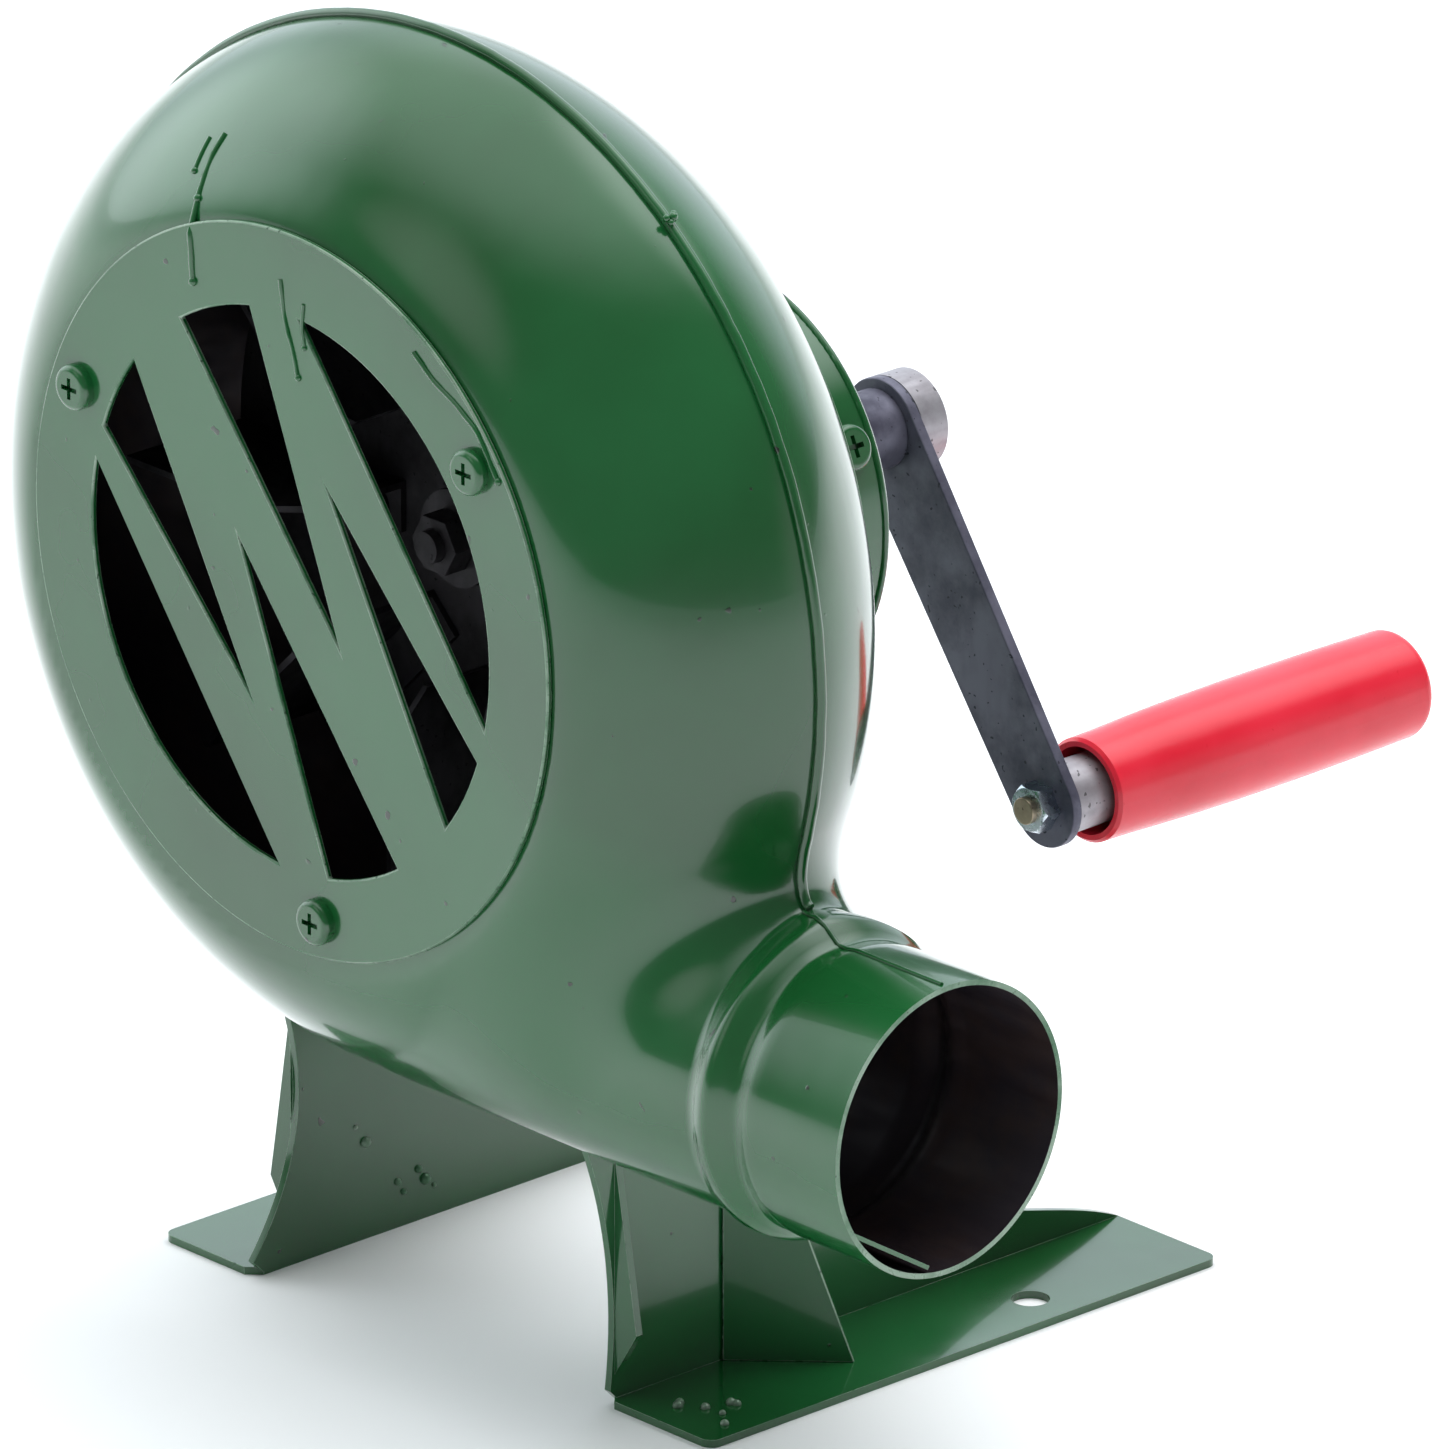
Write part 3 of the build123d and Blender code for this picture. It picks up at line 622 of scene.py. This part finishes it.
def makeRibTree():
    tree, start, end = newTree("ribAlongPath", [
        ("Radius", "NodeSocketFloat"), ("Ripple", "NodeSocketFloat"), ("Ripple Scale", "NodeSocketFloat"),
        ("Sides", "NodeSocketInt"), ("Finish", "NodeSocketMaterial")])
    place = tree.nodes.new("GeometryNodeInputPosition")
    noise = tree.nodes.new("ShaderNodeTexNoise")
    middleOf = tree.nodes.new("ShaderNodeVectorMath")
    middleOf.operation = "SUBTRACT"
    middleOf.inputs[1].default_value = (0.5, 0.5, 0.5)
    much = tree.nodes.new("ShaderNodeVectorMath")
    much.operation = "SCALE"
    move = tree.nodes.new("GeometryNodeSetPosition")
    ring = tree.nodes.new("GeometryNodeCurvePrimitiveCircle")
    sweep = tree.nodes.new("GeometryNodeCurveToMesh")
    sweep.inputs["Fill Caps"].default_value = True
    tree.links.new(place.outputs[0], noise.inputs["Vector"])
    tree.links.new(start.outputs["Ripple Scale"], noise.inputs["Scale"])
    tree.links.new(noise.outputs["Color"], middleOf.inputs[0])
    tree.links.new(middleOf.outputs[0], much.inputs[0])
    tree.links.new(start.outputs["Ripple"], much.inputs["Scale"])
    tree.links.new(start.outputs["Geometry"], move.inputs["Geometry"])
    tree.links.new(much.outputs[0], move.inputs["Offset"])
    tree.links.new(start.outputs["Radius"], ring.inputs["Radius"])
    tree.links.new(start.outputs["Sides"], ring.inputs["Resolution"])
    tree.links.new(move.outputs[0], sweep.inputs["Curve"])
    tree.links.new(ring.outputs[0], sweep.inputs["Profile Curve"])
    closeTree(tree, start, end, sweep.outputs[0])
    return tree


def makeBeadTree():
    tree, start, end = newTree("beadsOnPatch", [
        ("Density", "NodeSocketFloat"), ("Smallest", "NodeSocketFloat"), ("Largest", "NodeSocketFloat"),
        ("Seed", "NodeSocketInt"), ("Finish", "NodeSocketMaterial")])
    spread = tree.nodes.new("GeometryNodeDistributePointsOnFaces")
    bead = tree.nodes.new("GeometryNodeMeshIcoSphere")
    bead.inputs["Subdivisions"].default_value = 2
    size = tree.nodes.new("FunctionNodeRandomValue")
    put = tree.nodes.new("GeometryNodeInstanceOnPoints")
    tree.links.new(start.outputs["Geometry"], spread.inputs["Mesh"])
    tree.links.new(start.outputs["Density"], spread.inputs["Density"])
    tree.links.new(start.outputs["Seed"], spread.inputs["Seed"])
    tree.links.new(start.outputs["Smallest"], size.inputs[2])
    tree.links.new(start.outputs["Largest"], size.inputs[3])
    tree.links.new(start.outputs["Seed"], size.inputs["Seed"])
    bead.inputs["Radius"].default_value = 1.0
    tree.links.new(spread.outputs["Points"], put.inputs["Points"])
    tree.links.new(bead.outputs["Mesh"], put.inputs["Instance"])
    tree.links.new(size.outputs[1], put.inputs["Scale"])
    closeTree(tree, start, end, put.outputs[0])
    return tree


ribTree = makeRibTree()
beadTree = makeBeadTree()


def pathCurve(name, points):
    data = bpy.data.curves.new(name, "CURVE")
    data.dimensions = "3D"
    spline = data.splines.new("POLY")
    spline.points.add(len(points) - 1)
    for knot, point in zip(spline.points, points):
        knot.co = (*(point * mm), 1.0)
    piece = bpy.data.objects.new(name, data)
    scene.collection.objects.link(piece)
    return piece


seamRib = {"radius": 1.05, "sink": 0.35, "ripple": 0.28, "rippleScale": 240.0, "sides": 12, "step": 2.2}


def seamTrack():
    # the casing outline in the seam plane: duct top, round the drum, duct bottom
    topZ, lowZ = mouthZ + mouthR + noseSteps[0][1], mouthZ - mouthR - noseSteps[0][1]
    drumR = casing["radius"]
    topMeet = math.asin((topZ - casingMid[2]) / drumR)
    meetX = casingMid[0] + drumR * math.cos(topMeet)
    track = [(x, topZ) for x in np.arange(casing["neckX"], meetX, -seamRib["step"])]
    turn = seamRib["step"] / drumR
    track += [(casingMid[0] + drumR * math.cos(a), casingMid[2] + drumR * math.sin(a))
              for a in np.arange(topMeet, math.pi * 1.5, turn)]
    drumLow = casingMid[2] - drumR
    runs = np.arange(casingMid[0], casing["neckX"], seamRib["step"])
    track += [(x, drumLow + (lowZ - drumLow) * (x - runs[0]) / (casing["neckX"] - runs[0])) for x in runs]
    flat = ontoCasing(np.array([(x, seamY, z) for x, z in track]), 14, keepY=True)
    for _ in range(3):
        flat[1:-1] = (flat[:-2] + 2 * flat[1:-1] + flat[2:]) / 4
        flat = ontoCasing(flat, 6, keepY=True)
    return flat


collarJoint = {"radius": 0.45, "ripple": 0.10, "sides": 8, "step": 1.5, "short": 0.4, "aside": 1.0}


def makeSeam():
    track = seamTrack()
    slope = fieldSlope(track)
    slope[:, 1] = 0
    out = slope / np.linalg.norm(slope, axis=1)[:, None]
    source = pathCurve("seamPath", track + out * seamRib["sink"])
    rib = grownPiece("seamRib", source, ribTree, {
        "Radius": seamRib["radius"] * mm, "Ripple": seamRib["ripple"] * mm,
        "Ripple Scale": seamRib["rippleScale"], "Sides": seamRib["sides"],
        "Finish": finishes["greenEnamel"]})
    finishPiece(rib, "casing", "enamel", "seam_strip")
    # the joint line goes on along the top of the shoulder and the collar
    along = np.arange(casing["neckX"], mouthX - collarJoint["short"], collarJoint["step"])
    side, above = seamY - collarJoint["aside"], mouthZ + mouthR + 1.0
    top = ontoCasing(np.array([(x, side, above) for x in along]), 12)
    line = grownPiece("collarJoint", pathCurve("collarPath", top), ribTree, {
        "Radius": collarJoint["radius"] * mm, "Ripple": collarJoint["ripple"] * mm,
        "Ripple Scale": seamRib["rippleScale"], "Sides": collarJoint["sides"],
        "Finish": finishes["greenEnamel"]})
    finishPiece(line, "casing", "enamel")


makeSeam()

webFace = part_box("rear_foot")[1].x / mm - fanAxis[0]
# each patch is a small quad that beads land on:
# its middle from the fan axis and the seam, and half sizes along two axes
beadPieces = {
    "rearFootBeads": {
        "finish": "wornEdge", "smallest": 0.45, "largest": 1.15, "density": 0.035, "seed": 11,
        "patches": (((webFace, 19.0, -139.0), (0, 9, 0), (0, 0, 3.4)),
                    ((webFace, 10.0, -125.0), (0, 3, 0), (0, 0, 5.0))),
    },
    "frontFootBeads": {
        "finish": "wornEdge", "smallest": 0.35, "largest": 1.10, "density": 0.040, "seed": 12,
        "patches": (((57.5, 28.0, -144.9), (4.5, 0, 0), (0, 8, 0)),
                    ((67.0, 3.0, -144.9), (7.0, 0, 0), (0, 6, 0))),
    },
    "seamLugs": {
        "finish": "greenEnamel", "smallest": 0.60, "largest": 1.00, "density": 0.6, "seed": 13,
        "patches": (((58.6, 0.0, 75.9), (0.8, 0, -0.8), (0, 1.4, 0)),
                    ((91.2, 0.0, -24.0), (0.2, 0, 2.4), (0, 1.2, 0))),
    },
}


def makeBeads(name):
    look = beadPieces[name]
    points, faces = [], []
    for centre, a, b in look["patches"]:
        c = np.array(centre, float) + (fanAxis[0], seamY, fanAxis[2])
        a, b = np.array(a, float), np.array(b, float)
        at = len(points)
        points += [c - a - b, c + a - b, c + a + b, c - a + b]
        faces.append((at, at + 1, at + 2, at + 3))
    source = linkedObject(name + "Patch", meshFrom(name + "Patch", np.array(points) * mm, faces))
    beads = grownPiece(name, source, beadTree, {
        "Density": look["density"] / mm / mm, "Smallest": look["smallest"] * mm,
        "Largest": look["largest"] * mm, "Seed": look["seed"], "Finish": finishes[look["finish"]]})
    return finishPiece(beads, "casing", "enamel")


for beadName in beadPieces:
    makeBeads(beadName)

# paint that ran before it set: half width, then points from the fan axis, high to low
paintRuns = (
    (0.55, ((-28.5, 84.0), (-28.0, 78.0), (-26.8, 71.0), (-26.0, 66.5))),
    (0.45, ((-32.5, 82.0), (-31.5, 77.0), (-30.5, 72.0))),
    (0.60, ((-25.8, 65.8), (-25.2, 60.0), (-24.7, 54.0), (-24.4, 51.5))),
    (0.45, ((-1.5, 58.0), (-0.7, 52.0), (1.5, 46.0), (3.0, 41.0))),
    (0.40, ((4.5, 55.0), (4.0, 50.5), (4.6, 47.0))),
    (0.50, ((33.0, 54.0), (38.0, 50.0), (43.5, 47.5), (49.0, 44.0), (54.5, 36.0))),
)
# drop is the bead at the low end, against the run's half width
runLook = {"drop": 1.55, "step": 1.2, "ripple": 0.5, "rippleScale": 320.0, "sides": 8}


def onFront(points):
    # the same places on the grille, or on the casing outside it
    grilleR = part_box("inlet_grille")[1].x / mm - fanAxis[0]
    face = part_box("inlet_grille")[0].y / mm
    placed = []
    for dx, dz in points:
        spot = np.array([[fanAxis[0] + dx, seamY - casing["frontDepth"], fanAxis[2] + dz]])
        if math.hypot(dx, dz) < grilleR:
            spot[0, 1] = face
        else:
            spot = ontoCasing(spot, 14)
        placed.append(spot[0])
    return np.array(placed)


def evenly(points, step):
    gaps = np.linalg.norm(np.diff(points, axis=0), axis=1)
    along = np.concatenate(([0], np.cumsum(gaps)))
    stops = np.linspace(0, along[-1], max(int(along[-1] / step), 3))
    return np.stack([np.interp(stops, along, points[:, axis]) for axis in range(3)], axis=1)


def makePaintRuns():
    shape = bmesh.new()
    for half, points in paintRuns:
        track = evenly(onFront(points), runLook["step"])
        run = grownPiece("run", pathCurve("runPath", track), ribTree, {
            "Radius": half * mm, "Ripple": runLook["ripple"] * mm,
            "Ripple Scale": runLook["rippleScale"], "Sides": runLook["sides"],
            "Finish": finishes["greenEnamel"]})
        shape.from_mesh(run.data)
        bpy.data.objects.remove(run)
        bead = bmesh.ops.create_icosphere(shape, subdivisions=2, radius=half * runLook["drop"] * mm)
        bmesh.ops.translate(shape, verts=bead["verts"], vec=track[-1] * mm)
    mesh = bpy.data.meshes.new("paintRuns")
    shape.to_mesh(mesh)
    shape.free()
    smoothBelow(mesh, 70)
    mesh.materials.clear()
    mesh.materials.append(finishes["greenEnamel"])
    return finishPiece(linkedObject("paintRuns", mesh), "casing", "enamel")


makePaintRuns()
print("seam, beads and paint runs made")


brokenEdges = {
    "inlet_grille": 0.42, "back_plate": 0.45, "front_foot": 0.30, "rear_foot": 0.30, "front_wing": 0.25,
    "rear_wing": 0.25, "crank_arm": 0.40, "crank_hub": 0.35, "crank_spacer": 0.30, "handle_nut": 0.20,
    "crank_bush": 0.30, "drive_gear": 0.10, "fan_nut": 0.2, "handle_bolt": 0.25, "handle_washer": 0.2,
    "impeller_disc": 0.2, "lap_strip": 0.15,
}


edgeBreak = {"merge": 0.002, "flatAngle": 0.6, "edgeAngle": 38, "segments": 2, "weight": 90}


def breakEdges(nodeName, width):
    source = frame["nodes"][nodeName]
    mesh = source.data.copy()
    mesh.name = nodeName + "Finished"
    shape = bmesh.new()
    shape.from_mesh(mesh)
    bmesh.ops.remove_doubles(shape, verts=shape.verts, dist=edgeBreak["merge"] * mm)
    flatAngle = math.radians(edgeBreak["flatAngle"])
    bmesh.ops.dissolve_limit(shape, angle_limit=flatAngle, verts=shape.verts, edges=shape.edges)
    shape.to_mesh(mesh)
    shape.free()
    mesh.polygons.foreach_set("use_smooth", [True] * len(mesh.polygons))
    if nodeSlot[nodeName] == "enamel":
        mesh.materials.append(finishes["wornEdge"])      # paint is thin along a sheared edge, and the lighter edge colour is also a painted highlight
    piece = linkedObject(nodeName + "Finished", mesh)
    bevel = piece.modifiers.new("edge", "BEVEL")
    bevel.material = len(mesh.materials) - 1
    bevel.width = width * mm
    bevel.segments = edgeBreak["segments"]
    bevel.limit_method = "ANGLE"
    bevel.angle_limit = math.radians(edgeBreak["edgeAngle"])
    bevel.use_clamp_overlap = True
    bevel.harden_normals = True
    weigh = piece.modifiers.new("flats", "WEIGHTED_NORMAL")
    weigh.weight = edgeBreak["weight"]
    weigh.keep_sharp = True
    plainMesh(piece)
    return finishPiece(piece, nodeBody[nodeName], nodeSlot[nodeName], nodeName)


for edgeName, edgeWidth in brokenEdges.items():
    breakEdges(edgeName, edgeWidth)
print("edges broken on", len(brokenEdges), "pieces")


shot = {
    "place": (2.77352, -2.59420, 1.58386),
    "right": (0.680232, 0.732997, 0.0),
    "up": (-0.267694, 0.248432, 0.930925),
    "back": (0.682367, -0.633243, 0.365210),
    "lens": 573.75,
}


def makeCamera():
    camera = bpy.data.objects.new("camera", bpy.data.cameras.new("camera"))
    scene.collection.objects.link(camera)
    turn = Matrix((shot["right"], shot["up"], shot["back"])).transposed()
    camera.matrix_world = Matrix.Translation(shot["place"]) @ turn.to_4x4()
    camera.data.sensor_fit = "HORIZONTAL"
    camera.data.sensor_width = 36.0
    camera.data.lens = shot["lens"]
    camera.data.clip_end = 60.0
    scene.camera = camera


makeCamera()

studio = {
    "wall": (0.93, 0.95, 1.0), "wallStrength": 0.19,
    "floor": (0.86, 0.87, 0.88), "floorHalf": 30.0, "floorRough": 0.85,
    "aim": (0.0, -0.05, 0.12), "overhead": (-0.3, 0.3, 2.6),
    "overheadSize": (3.2, 3.2), "overheadPower": 84,
}


def makeFloor():
    size = studio["floorHalf"]
    mesh = meshFrom("floor", [(-size, -size, 0), (size, -size, 0), (size, size, 0), (-size, size, 0)],
                    [(0, 1, 2, 3)])
    floor = linkedObject("floor", mesh)
    material, tree, shader, coords = startMaterial("floorPaper")
    grain = noiseNode(tree, coords, 9.0, 4.0)
    tint = rangeNode(tree, grain.outputs["Fac"], 0.3, 0.7, 0.0, 1.0)
    colour = mixColour(tree, tint.outputs[0], studio["floor"], tuple(c * 1.02 for c in studio["floor"]))
    tree.links.new(colour, shader.inputs["Base Color"])
    shader.inputs["Roughness"].default_value = studio["floorRough"]
    mesh.materials.append(material)


makeFloor()


def softLight(name, place, aim, size, power):
    data = bpy.data.lights.new(name, "AREA")
    data.shape = "RECTANGLE"
    data.size, data.size_y = size
    data.energy = power
    lamp = bpy.data.objects.new(name, data)
    scene.collection.objects.link(lamp)
    away = Vector(place) - Vector(aim)
    lamp.visible_glossy = False      # it only lights; what shines comes from the world's soft boxes
    lamp.matrix_world = Matrix.Translation(place) @ away.to_track_quat("Z", "Y").to_matrix().to_4x4()


softLight("overhead", studio["overhead"], studio["aim"], studio["overheadSize"], studio["overheadPower"])

# soft boxes painted in the world: direction, where the glow starts and is full (as cosines), strength, tint
softBoxes = (
    ((-0.92, -0.22, 0.30), 0.80, 1.00, 2.2, (0.88, 0.96, 1.0)),
    ((-0.25, 0.15, 0.95), 0.62, 0.98, 1.3, (0.92, 0.98, 1.0)),
    ((0.10, 0.55, 0.80), 0.88, 0.99, 1.8, (0.95, 0.98, 1.0)),
    ((-0.25, -0.80, 0.55), 0.93, 1.00, 0.7, (1.0, 1.0, 1.0)),
    ((0.80, 0.60, -0.05), 0.86, 1.00, 0.5, (1.0, 1.0, 1.0)),
    ((-0.55, 0.70, 0.10), 0.60, 0.98, 1.2, (0.82, 0.90, 1.0)),
)


def makeWorld():
    world = bpy.data.worlds.new("studio")
    world.use_nodes = True
    tree = world.node_tree
    coords = tree.nodes.new("ShaderNodeTexCoord").outputs["Generated"]
    total = None
    for direction, starts, full, strength, tint in softBoxes:
        dot = tree.nodes.new("ShaderNodeVectorMath")
        dot.operation = "DOT_PRODUCT"
        dot.inputs[1].default_value = Vector(direction).normalized()
        tree.links.new(coords, dot.inputs[0])
        glow = rangeNode(tree, dot.outputs["Value"], starts, full, 0.0, strength)
        colour = tree.nodes.new("ShaderNodeVectorMath")
        colour.operation = "SCALE"
        colour.inputs[0].default_value = tint
        tree.links.new(glow.outputs[0], colour.inputs["Scale"])
        add = tree.nodes.new("ShaderNodeVectorMath")
        add.operation = "ADD"
        tree.links.new(colour.outputs[0], add.inputs[0])
        if total is None:
            add.inputs[1].default_value = [studio["wallStrength"] * c for c in studio["wall"]]
        else:
            tree.links.new(total, add.inputs[1])
        total = add.outputs[0]
    tree.links.new(total, tree.nodes["Background"].inputs["Color"])
    scene.world = world


makeWorld()
scene.view_settings.view_transform = "Standard"
print("camera and studio ready")
